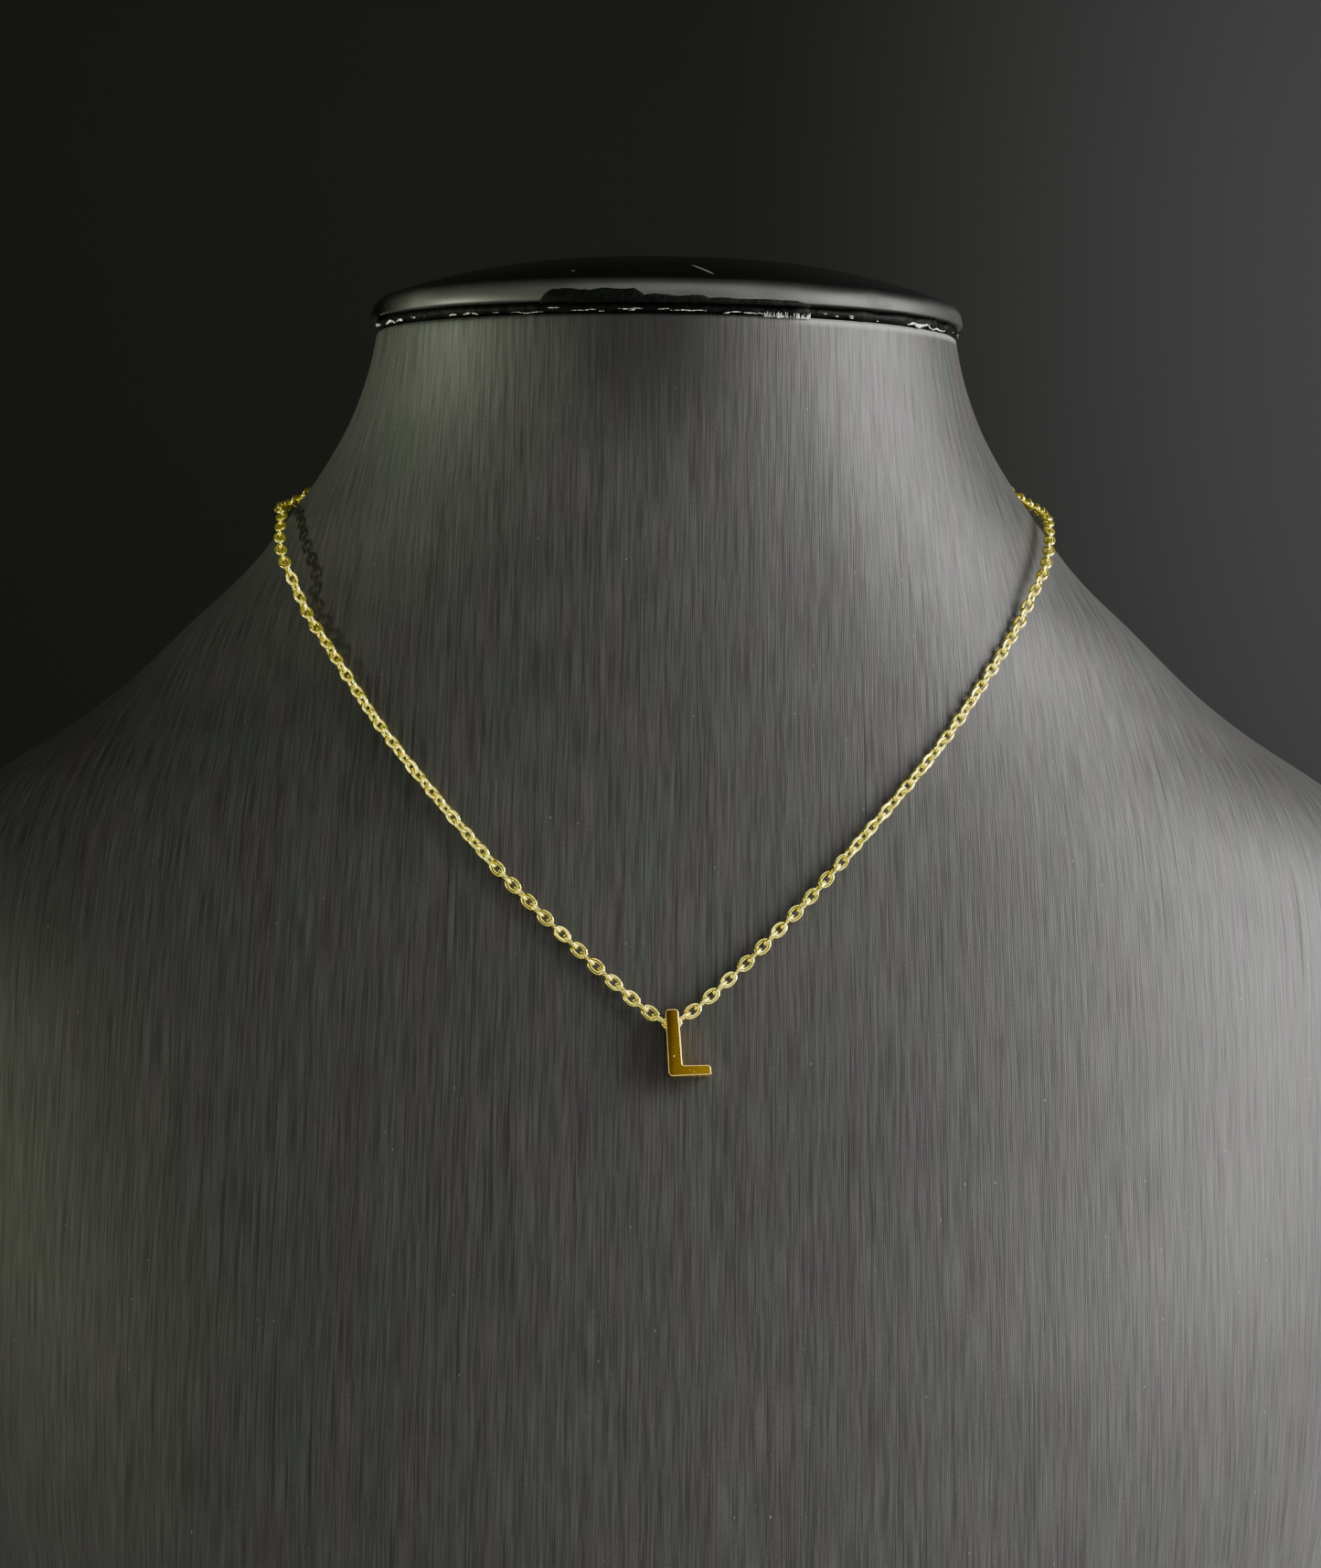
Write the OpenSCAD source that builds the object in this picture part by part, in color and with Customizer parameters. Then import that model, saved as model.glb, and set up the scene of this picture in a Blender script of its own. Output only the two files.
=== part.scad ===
// Initial pendant on a fine cable chain, worn by a covered neck bust.
// Millimetres, +Z up, the front of the bust faces -Y.

/* [Bust] */
// Height of the covered form, from its base to the top of the neck
bust_h = 239; // [210:1:290]
// Width across the shoulders
shoulder_w = 262; // [230:1:300]
// Depth of the chest, in front of the neck axis
chest_d = 90; // [75:1:110]
// Depth of the flat back, behind the neck axis
back_d = 46; // [42:1:60]
// Width of the neck at its top
neck_w = 95; // [85:1:110]
// Depth of the neck at its top, front to back
neck_d = 80; // [70:1:90]
// Radius where the covering turns under the base
base_edge_r = 3; // [1:0.5:5]
// Radius where the covering turns in at the top of the neck
top_edge_r = 1; // [0.4:0.1:2]

/* [Cap] */
// How far the rim of the cap stands out over the covering
cap_lip = 0.8; // [0.3:0.1:2]
// Height of the straight part of the rim
cap_rim_h = 0.5; // [0.3:0.1:3]
// Radius between the rim and the domed top
cap_edge_r = 3.4; // [2:0.1:5]
// Slope of the domed top where it leaves the rounded edge, in degrees
cap_slope = 20; // [10:1:25]
// Height of the foot that the cap is glued down by
cap_foot_h = 1.5; // [1:0.1:3]
// Step from the covering in to the foot
cap_foot_in = 2.5; // [1.5:0.1:5]
// Glue line between the foot and the neck
glue_gap = 0.1; // [0.05:0.05:0.3]

/* [Chain] */
// Outer length of a link
link_l = 2.72; // [2.6:0.02:3.4]
// Outer width of a link
link_w = 1.72; // [1.6:0.02:1.9]
// Width of the flat wire, seen on the face of a link
link_wire = 0.35; // [0.3:0.01:0.38]
// Thickness of the flat wire
link_t = 0.38; // [0.3:0.01:0.4]
// Slack between one link and the next
link_play = 0.32; // [0.28:0.01:0.38]
// Clearance between the chain and the covering
chain_gap = 0.15; // [0.1:0.01:0.4]
// Turn of the links about the chain, away from the pendant
link_roll = 45; // [0:5:45]
// Uneven turn of the links along the chain, each way
link_sway = 10; // [0:1:12]

/* [Pendant] */
// Height of the letter
letter_h = 9.2; // [7:0.1:14]
// Width of the letter
letter_w = 5.8; // [4.5:0.1:9]
// Depth of the letter, front to back
letter_d = 3; // [2.9:0.1:4]
// Width of the stem at its top
stem_top_w = 1.75; // [1.4:0.05:1.9]
// Width of the stem at its foot
stem_foot_w = 1.9; // [1.8:0.05:2.2]
// Height of the bar where it leaves the stem
bar_root_h = 1.37; // [1.2:0.01:2]
// Height of the bar at its tip
bar_tip_h = 1.27; // [1.1:0.01:1.8]
// Bore that the chain slides through
hole_d = 2.4; // [2.3:0.05:2.6]
// Centre of the bore below the top of the letter
hole_drop = 1.7; // [1.6:0.05:2.2]
// Corner radius at the top of the stem
stem_corner_r = 0.45; // [0.2:0.05:0.6]
// Corner radius at the outer foot of the stem
foot_corner_r = 0.55; // [0.2:0.05:0.8]
// Fillet between the stem and the bar
inner_corner_r = 0.3; // [0.1:0.05:0.6]
// Upper corner radius at the tip of the bar
tip_corner_r = 0.5; // [0.2:0.05:0.6]
// Lower corner radius at the tip of the bar
tip_foot_r = 0.18; // [0.1:0.02:0.3]
// Turn of the letter as it hangs, above 0 with its bar rising
letter_turn = -1; // [-3:0.5:3]
// Clearance between the back of the letter and the covering
letter_gap = 0.2; // [0.1:0.05:0.6]

/* [Clasp] */
// Outer diameter of the spring ring
clasp_d = 5.5; // [5:0.1:7]
// Wire of the spring ring
clasp_wire = 1.1; // [0.9:0.05:1.3]
// Outer diameter of the eye on the spring ring
eye_d = 2.3; // [2.1:0.1:3]
// Wire of the eye
eye_wire = 0.5; // [0.4:0.05:0.55]
// Outer diameter of the two end rings
ring_d = 3; // [2.8:0.1:3.6]
// Wire of the two end rings
ring_wire = 0.5; // [0.4:0.05:0.55]
// Clearance where ring, eye, clasp and link hang in each other
fit_gap = 0.15; // [0.13:0.01:0.2]

/* [Hidden] */
$fn = 32;
quarter_turn = 90;

// The model stands with the middle of its depth on the Y axis
axis_y = (chest_d - back_d) / 2;

// Sections of the bust, from below the base to the neck: share of the height, then
// how far the section has grown from the neck out to the shoulders, the chest and
// the back, and how square its front and back halves are (2 is an ellipse)
SECTIONS = [
    // height, width, front, back, front squareness, back squareness
    [-0.10, 0.500, 0.720, 1.00, 2.20, 3.6],
    [0.000, 0.620, 0.870, 1.00, 2.20, 3.6],
    [0.100, 0.735, 0.970, 1.00, 2.20, 3.6],
    [0.231, 0.860, 1.000, 1.00, 2.20, 3.6],
    [0.362, 0.950, 0.890, 1.00, 2.15, 3.4],
    [0.482, 0.993, 0.680, 1.00, 2.10, 3.2],
    [0.572, 1.000, 0.520, 1.00, 2.05, 3.0],
    [0.613, 0.985, 0.438, 0.99, 2.02, 2.85],
    [0.653, 0.924, 0.350, 0.98, 2.00, 2.7],
    [0.698, 0.755, 0.268, 0.92, 2.00, 2.5],
    [0.733, 0.592, 0.208, 0.85, 2.00, 2.3],
    [0.768, 0.466, 0.157, 0.75, 2.00, 2.1],
    [0.803, 0.365, 0.115, 0.62, 2.00, 2.0],
    [0.839, 0.249, 0.085, 0.50, 2.00, 2.0],
    [0.874, 0.173, 0.060, 0.36, 2.00, 2.0],
    [0.909, 0.099, 0.035, 0.22, 2.00, 2.0],
    [0.954, 0.032, 0.012, 0.08, 2.00, 2.0],
    [1.000, 0.000, 0.000, 0.00, 2.00, 2.0]
];

// Shares of the height that carry a ring of corners between base and neck
RING_SHARES = concat([for (k = [1 : 14]) k * 0.04], [for (k = [0 : 19]) 0.58 + k * 0.021]);
columns = 64;

// Height of the chain's centreline where a link stands on the covering
chain_rest = link_w / 2 + chain_gap;
// More than that in the letter's bore, and where an end ring stands on the neck
letter_lift = letter_gap + letter_d / 2 - chain_rest;
ring_lift = ring_d / 2 + chain_gap - chain_rest;

// Chosen points of the chain's way round the neck, for each side: degrees from the
// front, drop below the top of the neck, and lift where the chain spans the hollow
// between neck and shoulder
apex = [1.7, 100, letter_lift];
ROUTE_BACK = [[110, 21, 1.4], [140, 16, 0.2], [165, 13.3, ring_lift], [180, 13, ring_lift]];
ROUTE_LEFT = concat(
    [[-apex[0], apex[1], apex[2]], [2, 97.9, 0.42], [4.2, 96, 0.1], [10, 91, 0], [20, 82.4, 0],
     [30, 73, 0], [42, 61.6, 0], [54, 49.4, 0], [60, 44.1, 0.3], [66, 38.5, 2.5],
     [78, 30.4, 1.2], [91, 29.3, 0.9]],
    ROUTE_BACK);
ROUTE_RIGHT = concat(
    [apex, [3.4, 99, 0.42], [6.9, 96.1, 0.1], [10, 93.2, 0], [20, 83.9, 0],
     [30, 74, 0], [42, 62.5, 0], [54, 50, 0], [60, 44.2, 0.3], [66, 39, 1.9],
     [78, 31, 1.1], [91, 27.6, 0.4]],
    ROUTE_BACK);
route_step = 0.5;

link_pitch = link_l - 2 * link_wire - link_play;
chain_colour = "#d9b45f";

// Value of one column of a table at a key, on a curve with no overshoot
function rise(t, c, k) = (t[k + 1][c] - t[k][c]) / (t[k + 1][0] - t[k][0]);
function slope(t, c, k) =
    k == 0 || k == len(t) - 1 ? 0 :
    let (a = rise(t, c, k - 1), b = rise(t, c, k))
    a * b <= 0 ? 0 : 2 * a * b / (a + b);
function interval(t, key, k = 0) = k >= len(t) - 2 || key < t[k + 1][0] ? k : interval(t, key, k + 1);
function blend(t, c, key, k) =
    let (d = t[k + 1][0] - t[k][0], u = (key - t[k][0]) / d)
    (2 * u^3 - 3 * u^2 + 1) * t[k][c] + (u^3 - 2 * u^2 + u) * d * slope(t, c, k)
    + (3 * u^2 - 2 * u^3) * t[k + 1][c] + (u^3 - u^2) * d * slope(t, c, k + 1);
function curve(t, c, key) = blend(t, c, key, interval(t, key));

// Half sizes of the bust at a height: width, front, back, and their squareness
function section(z) =
    let (h = max(0, min(1, z / bust_h)), k = interval(SECTIONS, h))
    [neck_w / 2 + blend(SECTIONS, 1, h, k) * (shoulder_w - neck_w) / 2,
     neck_d / 2 + blend(SECTIONS, 2, h, k) * (chest_d - neck_d / 2),
     neck_d / 2 + blend(SECTIONS, 3, h, k) * (back_d - neck_d / 2),
     blend(SECTIONS, 4, h, k), blend(SECTIONS, 5, h, k)];

// Corner of a section, by its place round the outline
function power(v, n) = sign(v) * abs(v) ^ (2 / n);
function outline_point(sec, place, inset, z) =
    let (front = cos(place) >= 0, n = front ? sec[3] : sec[4], d = front ? sec[1] : sec[2])
    [(sec[0] - inset) * power(sin(place), n), axis_y - (d - inset) * power(cos(place), n), z];
function outline_ring(sec, inset, z) =
    [for (k = [0 : columns - 1]) outline_point(sec, k * 360 / columns, inset, z)];

// Point of the covering straight out from the neck axis, and the way it faces
function skin(angle, z) =
    let (sec = section(z), front = cos(angle) >= 0, n = front ? sec[3] : sec[4],
         d = front ? sec[1] : sec[2],
         r = (abs(sin(angle) / sec[0]) ^ n + abs(cos(angle) / d) ^ n) ^ (-1 / n))
    [r * sin(angle), axis_y - r * cos(angle), z];
function unit(v) = v / norm(v);
function facing(angle, z) =
    unit(cross(skin(angle + 0.5, z) - skin(angle - 0.5, z), skin(angle, z + 0.5) - skin(angle, z - 0.5)));

// Closed solid through rings of corners, each ring with as many corners
function band(n, a, b) =
    [for (k = [0 : n - 1]) let (j = (k + 1) % n) each
        [[a * n + k, b * n + j, a * n + j], [a * n + k, b * n + k, b * n + j]]];
module loft(rings) {
    n = len(rings[0]);
    last = len(rings) - 1;
    points = [for (r = rings) each r];
    sides = [for (k = [0 : last - 1]) each band(n, k, k + 1)];
    bottom = [[for (k = [0 : n - 1]) k]];
    top = [[for (k = [n - 1 : -1 : 0]) last * n + k]];
    polyhedron(points, concat(bottom, sides, top));
}

// Rounded edge of a radius: how far in the outline is, a share of the way up it
function edge_inset(r, share) = r * (1 - sqrt(1 - (1 - share) ^ 2));
EDGE_SHARES = [0, 0.12, 0.4, 0.7];

module neck_bust() {
    low = [for (s = EDGE_SHARES) outline_ring(section(s * base_edge_r), edge_inset(base_edge_r, s),
                                              s * base_edge_r)];
    middle = [for (h = RING_SHARES) outline_ring(section(h * bust_h), 0, h * bust_h)];
    high = [for (k = [3 : -1 : 0]) let (s = EDGE_SHARES[k])
            outline_ring(section(bust_h), edge_inset(top_edge_r, s), bust_h - s * top_edge_r)];
    color("#2c2e2e") loft(concat(low, middle, high));
}

// Turns of the cap's rounded edge and shares of the way over its dome that carry a ring
EDGE_TURNS = [0.2, 0.4, 0.6, 0.8, 1];
DOME_SHARES = [0.1, 0.25, 0.42, 0.62, 0.85];

// The cap: a foot under a wider rim, and a rounded edge that runs into a shallow dome
module neck_cap() {
    top = section(bust_h);
    z_foot = bust_h + glue_gap;
    z_rim = z_foot + cap_foot_h;
    z_edge = z_rim + cap_rim_h;
    edge_sweep = quarter_turn - cap_slope;
    dome_in = cap_edge_r * (1 - cos(edge_sweep)) - cap_lip;
    z_dome = z_edge + cap_edge_r * sin(edge_sweep);
    dome_reach = neck_d / 2 - dome_in;
    dome_h = dome_reach * tan(cap_slope) / 2;
    foot = [for (z = [z_foot, z_rim]) outline_ring(top, cap_foot_in, z)];
    rim = [for (z = [z_rim, z_edge]) outline_ring(top, -cap_lip, z)];
    edge = [for (u = EDGE_TURNS) let (a = edge_sweep * u)
            outline_ring(top, cap_edge_r * (1 - cos(a)) - cap_lip, z_edge + cap_edge_r * sin(a))];
    dome = [for (u = DOME_SHARES)
            outline_ring(top, dome_in + dome_reach * u, z_dome + dome_h * (1 - (1 - u) ^ 2))];
    color("#0b0b0c") loft(concat(foot, rim, edge, dome));
}

// Way of one side of the chain: place, facing and distance from the pendant
function way_point(row_table, side, a) =
    let (z = bust_h - curve(row_table, 1, a), f = facing(side * a, z))
    [skin(side * a, z) + f * (chain_rest + curve(row_table, 2, a)), f];
function way(row_table, side) =
    let (a0 = row_table[0][0], n = ceil((180 - a0) / route_step))
    [for (k = [0 : n]) way_point(row_table, side, a0 + (180 - a0) * k / n)];
function lengths(w) =
    [for (k = 0, s = 0; k < len(w);
          s = s + (k + 1 < len(w) ? norm(w[k + 1][0] - w[k][0]) : 0), k = k + 1) s];

way_left = way(ROUTE_LEFT, -1);
way_right = way(ROUTE_RIGHT, 1);
len_left = lengths(way_left);
len_right = lengths(way_right);
last_left = len(way_left) - 1;
side_left = len_left[last_left];
side_right = len_right[len(way_right) - 1];

// Both sides on one scale of distance, minus to the left of the pendant
WAY = concat([for (k = [last_left : -1 : 1]) [-len_left[k], way_left[k]]],
             [for (k = [0 : len(way_right) - 1]) [len_right[k], way_right[k]]]);
function column(part, axis) = [for (row = WAY) [row[0], row[1][part][axis]]];
PLACE = [for (axis = [0 : 2]) column(0, axis)];
FACING = [for (axis = [0 : 2]) column(1, axis)];
function read(tables, s) = [for (t = tables) lookup(s, t)];

// Draws its children on the chain's way, X along it and Z out from the covering
module on_way(s, roll = 0) {
    span = link_pitch / 2;
    along = unit(read(PLACE, s + span) - read(PLACE, s - span));
    across = unit(cross(read(FACING, s), along));
    out = cross(along, across);
    at = read(PLACE, s);
    multmatrix([[along[0], across[0], out[0], at[0]],
                [along[1], across[1], out[1], at[1]],
                [along[2], across[2], out[2], at[2]],
                [0, 0, 0, 1]])
        rotate([roll, 0, 0]) children();
}

// How the clasp and its rings take up the gap between the two last links
link_hole_half = link_l / 2 - link_wire;
ring_hole_half = ring_d / 2 - ring_wire;
clasp_hole_half = clasp_d / 2 - clasp_wire;
eye_hole_half = eye_d / 2 - eye_wire;
ring_to_link = link_hole_half - fit_gap + ring_hole_half;
eye_at = clasp_d / 2 + eye_d / 2 - eye_wire / 2;
right_ring_at = clasp_hole_half - fit_gap + ring_hole_half;
left_ring_at = eye_at + eye_hole_half - fit_gap + ring_hole_half;
left_links = 2 * round((side_left - left_ring_at - ring_to_link) / link_pitch / 2);
right_links = 2 * round((side_right - right_ring_at - ring_to_link) / link_pitch / 2);
left_pitch = (side_left - left_ring_at - ring_to_link) / left_links;
right_pitch = (side_right - right_ring_at - ring_to_link) / right_links;

// The links lie flat by the pendant and by the clasp, and lean over in between: how far
// from the pendant and from the clasp they stay so, and the length that the change takes
lean_from = [12, 8];
lean_over = [40, 30];
sway_from = [3, 6];
sway_over = [12, 12];
// Degrees of the sway's wave for each millimetre of chain
sway_rate = 31;
function swell(u) = let (v = max(0, min(1, u))) v * v * (3 - 2 * v);
function freedom(s, side, from, over) =
    swell((abs(s) - from[0]) / over[0]) * swell((side - from[1] - abs(s)) / over[1]);
function link_turn(s, side) =
    freedom(s, side, lean_from, lean_over) * link_roll
    + freedom(s, side, sway_from, sway_over) * link_sway * sin(s * sway_rate);

module slot(l, w) {
    union() {
        square([l - w, w], center = true);
        translate([(l - w) / 2, 0]) circle(d = w);
        translate([-(l - w) / 2, 0]) circle(d = w);
    }
}

module link() {
    linear_extrude(height = link_t, center = true)
        difference() {
            slot(link_l, link_w);
            slot(link_l - 2 * link_wire, link_w - 2 * link_wire);
        }
}

module chain_left() {
    color(chain_colour) for (k = [1 : left_links])
        on_way(-k * left_pitch, link_turn(k * left_pitch, side_left) + quarter_turn * (k % 2)) link();
}

module chain_right() {
    color(chain_colour) for (k = [0 : right_links])
        on_way(k * right_pitch, link_turn(k * right_pitch, side_right) + quarter_turn * (k % 2)) link();
}

// Arc of a rounded corner at b, between the edges from a and to c
function corner(a, b, c, r) =
    let (u = unit(a - b), v = unit(c - b), half = acos(u * v) / 2,
         centre = b + unit(u + v) * r / sin(half), start = b + u * r / tan(half) - centre,
         turn = sign(cross(b - a, c - b)) * (180 - 2 * half), steps = 6)
    [for (k = [0 : steps]) let (g = turn * k / steps)
        centre + [start[0] * cos(g) - start[1] * sin(g), start[0] * sin(g) + start[1] * cos(g)]];

// Outline of the letter about the centre of its bore: a stem with a bar at its foot
LETTER_TOP = hole_drop;
LETTER_FOOT = hole_drop - letter_h;
LETTER_LEFT = -stem_top_w / 2;
LETTER_RIGHT = LETTER_LEFT + letter_w;
LETTER_CORNERS = [
    [[LETTER_LEFT, LETTER_TOP], stem_corner_r],
    [[LETTER_LEFT, LETTER_FOOT], foot_corner_r],
    [[LETTER_RIGHT, LETTER_FOOT], tip_foot_r],
    [[LETTER_RIGHT, LETTER_FOOT + bar_tip_h], tip_corner_r],
    [[LETTER_LEFT + stem_foot_w, LETTER_FOOT + bar_root_h], inner_corner_r],
    [[LETTER_LEFT + stem_top_w, LETTER_TOP], stem_corner_r]
];
LETTER_OUTLINE = [for (k = [0 : 5]) each
    corner(LETTER_CORNERS[(k + 5) % 6][0], LETTER_CORNERS[k][0], LETTER_CORNERS[(k + 1) % 6][0],
           LETTER_CORNERS[k][1])];

module pendant() {
    color(chain_colour) on_way(0) rotate([0, 0, letter_turn]) difference() {
        linear_extrude(height = letter_d, center = true) polygon(LETTER_OUTLINE);
        rotate([0, 90, 0]) cylinder(d = hole_d, h = 4 * stem_foot_w, center = true);
    }
}

module wire_ring(d, wire) {
    rotate_extrude() translate([(d - wire) / 2, 0]) circle(d = wire);
}

// The clasp lies behind the neck, where both sides of the chain meet
module clasp() {
    color(chain_colour) on_way(side_right) union() {
        wire_ring(clasp_d, clasp_wire);
        translate([eye_at, 0, 0]) wire_ring(eye_d, eye_wire);
    }
}

module end_ring(s) {
    color(chain_colour) on_way(s) rotate([90, 0, 0]) wire_ring(ring_d, ring_wire);
}

module end_ring_left() {
    end_ring(left_ring_at - side_left);
}

module end_ring_right() {
    end_ring(side_right - right_ring_at);
}

neck_bust();
neck_cap();
chain_left();
chain_right();
pendant();
clasp();
end_ring_left();
end_ring_right();
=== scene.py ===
import math
import random

import bmesh
import bpy
import numpy as np
from mathutils import Matrix, Vector, noise


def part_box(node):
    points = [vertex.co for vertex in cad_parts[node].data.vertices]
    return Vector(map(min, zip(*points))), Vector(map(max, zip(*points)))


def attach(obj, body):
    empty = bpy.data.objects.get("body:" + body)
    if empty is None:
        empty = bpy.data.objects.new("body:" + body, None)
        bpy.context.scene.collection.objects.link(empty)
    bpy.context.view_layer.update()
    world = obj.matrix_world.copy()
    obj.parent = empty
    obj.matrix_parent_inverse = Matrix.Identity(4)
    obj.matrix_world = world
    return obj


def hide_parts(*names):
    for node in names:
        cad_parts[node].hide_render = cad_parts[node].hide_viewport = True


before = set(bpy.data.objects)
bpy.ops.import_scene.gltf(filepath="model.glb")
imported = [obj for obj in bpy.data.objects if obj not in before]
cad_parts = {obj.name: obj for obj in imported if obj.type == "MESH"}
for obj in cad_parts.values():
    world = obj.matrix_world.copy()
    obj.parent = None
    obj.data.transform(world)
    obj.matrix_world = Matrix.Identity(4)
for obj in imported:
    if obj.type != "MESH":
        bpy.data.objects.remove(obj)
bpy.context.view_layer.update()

mm = 0.001


# The neck bust is a rigid form of neck, shoulders and chest on its own flat base. A sheet of
# charcoal leatherette with a fine upright grain is pulled over it, glued down behind and below,
# and cut off level at the top of the neck.

class Socket:
    """A socket among a material's nodes, so that shader maths reads as plain sums."""

    def __init__(self, tree, end=None):
        self.tree = tree
        self.end = end

    def node(self, kind, settings, values, output=0):
        """Adds a node: first its settings, then the values or links of its sockets."""
        made = self.tree.nodes.new(kind)
        for name, setting in settings.items():
            setattr(made, name, setting)
        for name, value in values.items():
            if isinstance(value, Socket):
                self.tree.links.new(value.end, made.inputs[name])
            else:
                made.inputs[name].default_value = value
        return Socket(self.tree, made.outputs[output])

    def maths(self, operation, *others):
        """A Math node's result for this value and the others."""
        terms = dict(enumerate((self, *others)))
        return self.node("ShaderNodeMath", {"operation": operation}, terms)

    def __add__(self, other):
        return self.maths("ADD", other)

    def __sub__(self, other):
        return self.maths("SUBTRACT", other)

    def __rsub__(self, other):
        return self.maths("MULTIPLY_ADD", -1, other)

    def __mul__(self, other):
        return self.maths("MULTIPLY", other)

    __radd__ = __add__
    __rmul__ = __mul__

    def between(self, low, high):
        """0 below low, 1 above high, and a soft step from one to the other."""
        return self.node("ShaderNodeMapRange", {"interpolation_type": "SMOOTHSTEP"},
                         {"Value": self, "From Min": low, "From Max": high})

    def mix(self, first, second):
        """From the first colour to the second one as this mask goes from 0 to 1."""
        return self.node("ShaderNodeMix", {"data_type": "RGBA"}, {0: self, 6: first, 7: second}, 2)

    def stretched(self, x, y, z):
        """These coordinates, multiplied along each axis."""
        return self.node("ShaderNodeVectorMath", {"operation": "MULTIPLY"}, {0: self, 1: (x, y, z)})

    def axis(self, name):
        """These coordinates along x, y or z."""
        return self.node("ShaderNodeSeparateXYZ", {}, {"Vector": self}, "xyz".index(name))

    def speckle(self, size, detail=2.0):
        """Noise with features of about a size, in the units of these coordinates."""
        return self.node("ShaderNodeTexNoise", {}, {"Vector": self, "Scale": 1 / size, "Detail": detail})

    def bump(self, strength, distance):
        """This height as a normal."""
        return self.node("ShaderNodeBump", {},
                         {"Height": self, "Strength": strength, "Distance": distance})


def new_finish(name):
    """A material, and the place on the piece that its nodes start from."""
    material = bpy.data.materials.new(name)
    material.use_nodes = True
    return material, Socket(material.node_tree).node("ShaderNodeTexCoord", {}, {}, 3)


def set_shader(material, values):
    """Fills in sockets of the material's shader with values or links."""
    shader = material.node_tree.nodes["Principled BSDF"]
    for name, value in values.items():
        if isinstance(value, Socket):
            material.node_tree.links.new(value.end, shader.inputs[name])
        else:
            shader.inputs[name].default_value = value


def rgb(red, green, blue):
    return (red, green, blue, 1)


def loft(name, rows, ends="closed", sheet=None):
    """A smooth skin through rows of points that each go round; sheet gives its layout in metres."""
    count = len(rows[0])
    build = bmesh.new()
    grid = [[build.verts.new(point) for point in row] for row in rows]
    layout = build.loops.layers.uv.new("sheet") if sheet else None
    steps = len(rows) if ends == "joined" else len(rows) - 1
    for j in range(steps):
        for k in range(count):
            corners = [(j, k), (j, k + 1), (j + 1, k + 1), (j + 1, k)]
            face = build.faces.new([grid[a % len(rows)][b % count] for a, b in corners])
            if layout:
                for loop, (a, b) in zip(face.loops, corners):
                    loop[layout].uv = sheet[a][b]
    if ends == "closed":
        for row in (list(reversed(grid[0])), grid[-1]):
            build.faces.new(row)
    for face in build.faces:
        face.smooth = True
    mesh = bpy.data.meshes.new(name)
    build.to_mesh(mesh)
    build.free()
    piece = bpy.data.objects.new(name, mesh)
    bpy.context.scene.collection.objects.link(piece)
    return piece


def refine(piece, levels):
    """Subdivides a piece into a smooth surface."""
    smooth = piece.modifiers.new("smooth", "SUBSURF")
    smooth.levels = levels
    smooth.render_levels = levels


def dress(piece, material, slot, *nodes):
    """Gives a piece its finish, and lets it stand for its nodes."""
    piece.data.materials.append(material)
    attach(piece, "root")
    if nodes:
        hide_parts(*nodes)


cap_low, cap_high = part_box("neck_cap")
bust_low, bust_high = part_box("neck_bust")
axis_y = (cap_low.y + cap_high.y) / 2


def bust_rings():
    """The covering's level rings from the base up, each from the middle of the back round."""
    levels = {}
    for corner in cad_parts["neck_bust"].data.vertices:
        place = tuple(round(value, 7) for value in corner.co)
        levels.setdefault(round(place[2], 5), set()).add(place)
    rings = [sorted(levels[level], key=lambda p: math.atan2(p[0], axis_y - p[1]))
             for level in sorted(levels)]
    return [[Vector(place) for place in ring[-1:] + ring[:-1]] for ring in rings]


def sheet_layout(rings):
    """Where each corner lies on the flat sheet: round from the front, and up along the form."""
    count = len(rings[0])
    up = [0.0] * (count + 1)
    layout = []
    for j, ring in enumerate(rings):
        round_it = [0.0]
        for k in range(count):
            round_it.append(round_it[-1] + (ring[(k + 1) % count] - ring[k]).length)
        if j:
            up = [up[k] + (ring[k % count] - rings[j - 1][k % count]).length for k in range(count + 1)]
        middle = round_it[count // 2]
        layout.append([(round_it[k] - middle, up[k]) for k in range(count + 1)])
    return layout


rings = bust_rings()
bust = loft("bust_covering", rings, sheet=sheet_layout(rings))
refine(bust, 2)

RIB_PITCH = 0.27 * mm
# Painted shade under the cap's edge, a darker patch at the top of the neck's front: how far right it
# begins and ends, and how far down
PAINTED_SHADE_BEGINS = -19 * mm, -6 * mm
PAINTED_SHADE_ENDS = 1 * mm, 15 * mm
PAINTED_SHADE_DOWN = 26 * mm, 4 * mm
# A painted highlight, pale grey along the covering's top edge on the right: how far right it begins, and
# how far down
EDGE_HIGHLIGHT_BEGINS = 17 * mm, 22 * mm
EDGE_HIGHLIGHT_DOWN = 1.5 * mm, 0.5 * mm

leatherette, place = new_finish("leatherette")
side, height = place.axis("x"), place.axis("z")
sheet = place.node("ShaderNodeUVMap", {"uv_map": "sheet"}, {})
drift = sheet.stretched(1, 0.1, 1).speckle(3 * mm, 1.0)
ribs = 0.5 + 0.5 * (sheet.axis("x") * (math.tau / RIB_PITCH) + drift * 14).maths("SINE")
threads = sheet.stretched(1, 0.03, 1).speckle(0.29 * mm, 2.0)
streaks = sheet.stretched(1, 0.02, 1).speckle(1.0 * mm, 3.0)
scratches = sheet.stretched(1, 0.02, 1).speckle(0.7 * mm, 1.0).between(0.60, 0.72)
cut = scratches * sheet.stretched(1, 0.4, 1).speckle(22 * mm, 2.0).between(0.42, 0.62)
handling = sheet.speckle(34 * mm, 3.0)
warmth = sheet.stretched(1, 0.25, 1).speckle(5 * mm, 3.0)
lint = sheet.stretched(1, 0.5, 1).speckle(0.4 * mm, 0.0).between(0.86, 0.9)
grit = sheet.stretched(1, 0.5, 1).speckle(0.2 * mm, 1.0)
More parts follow.
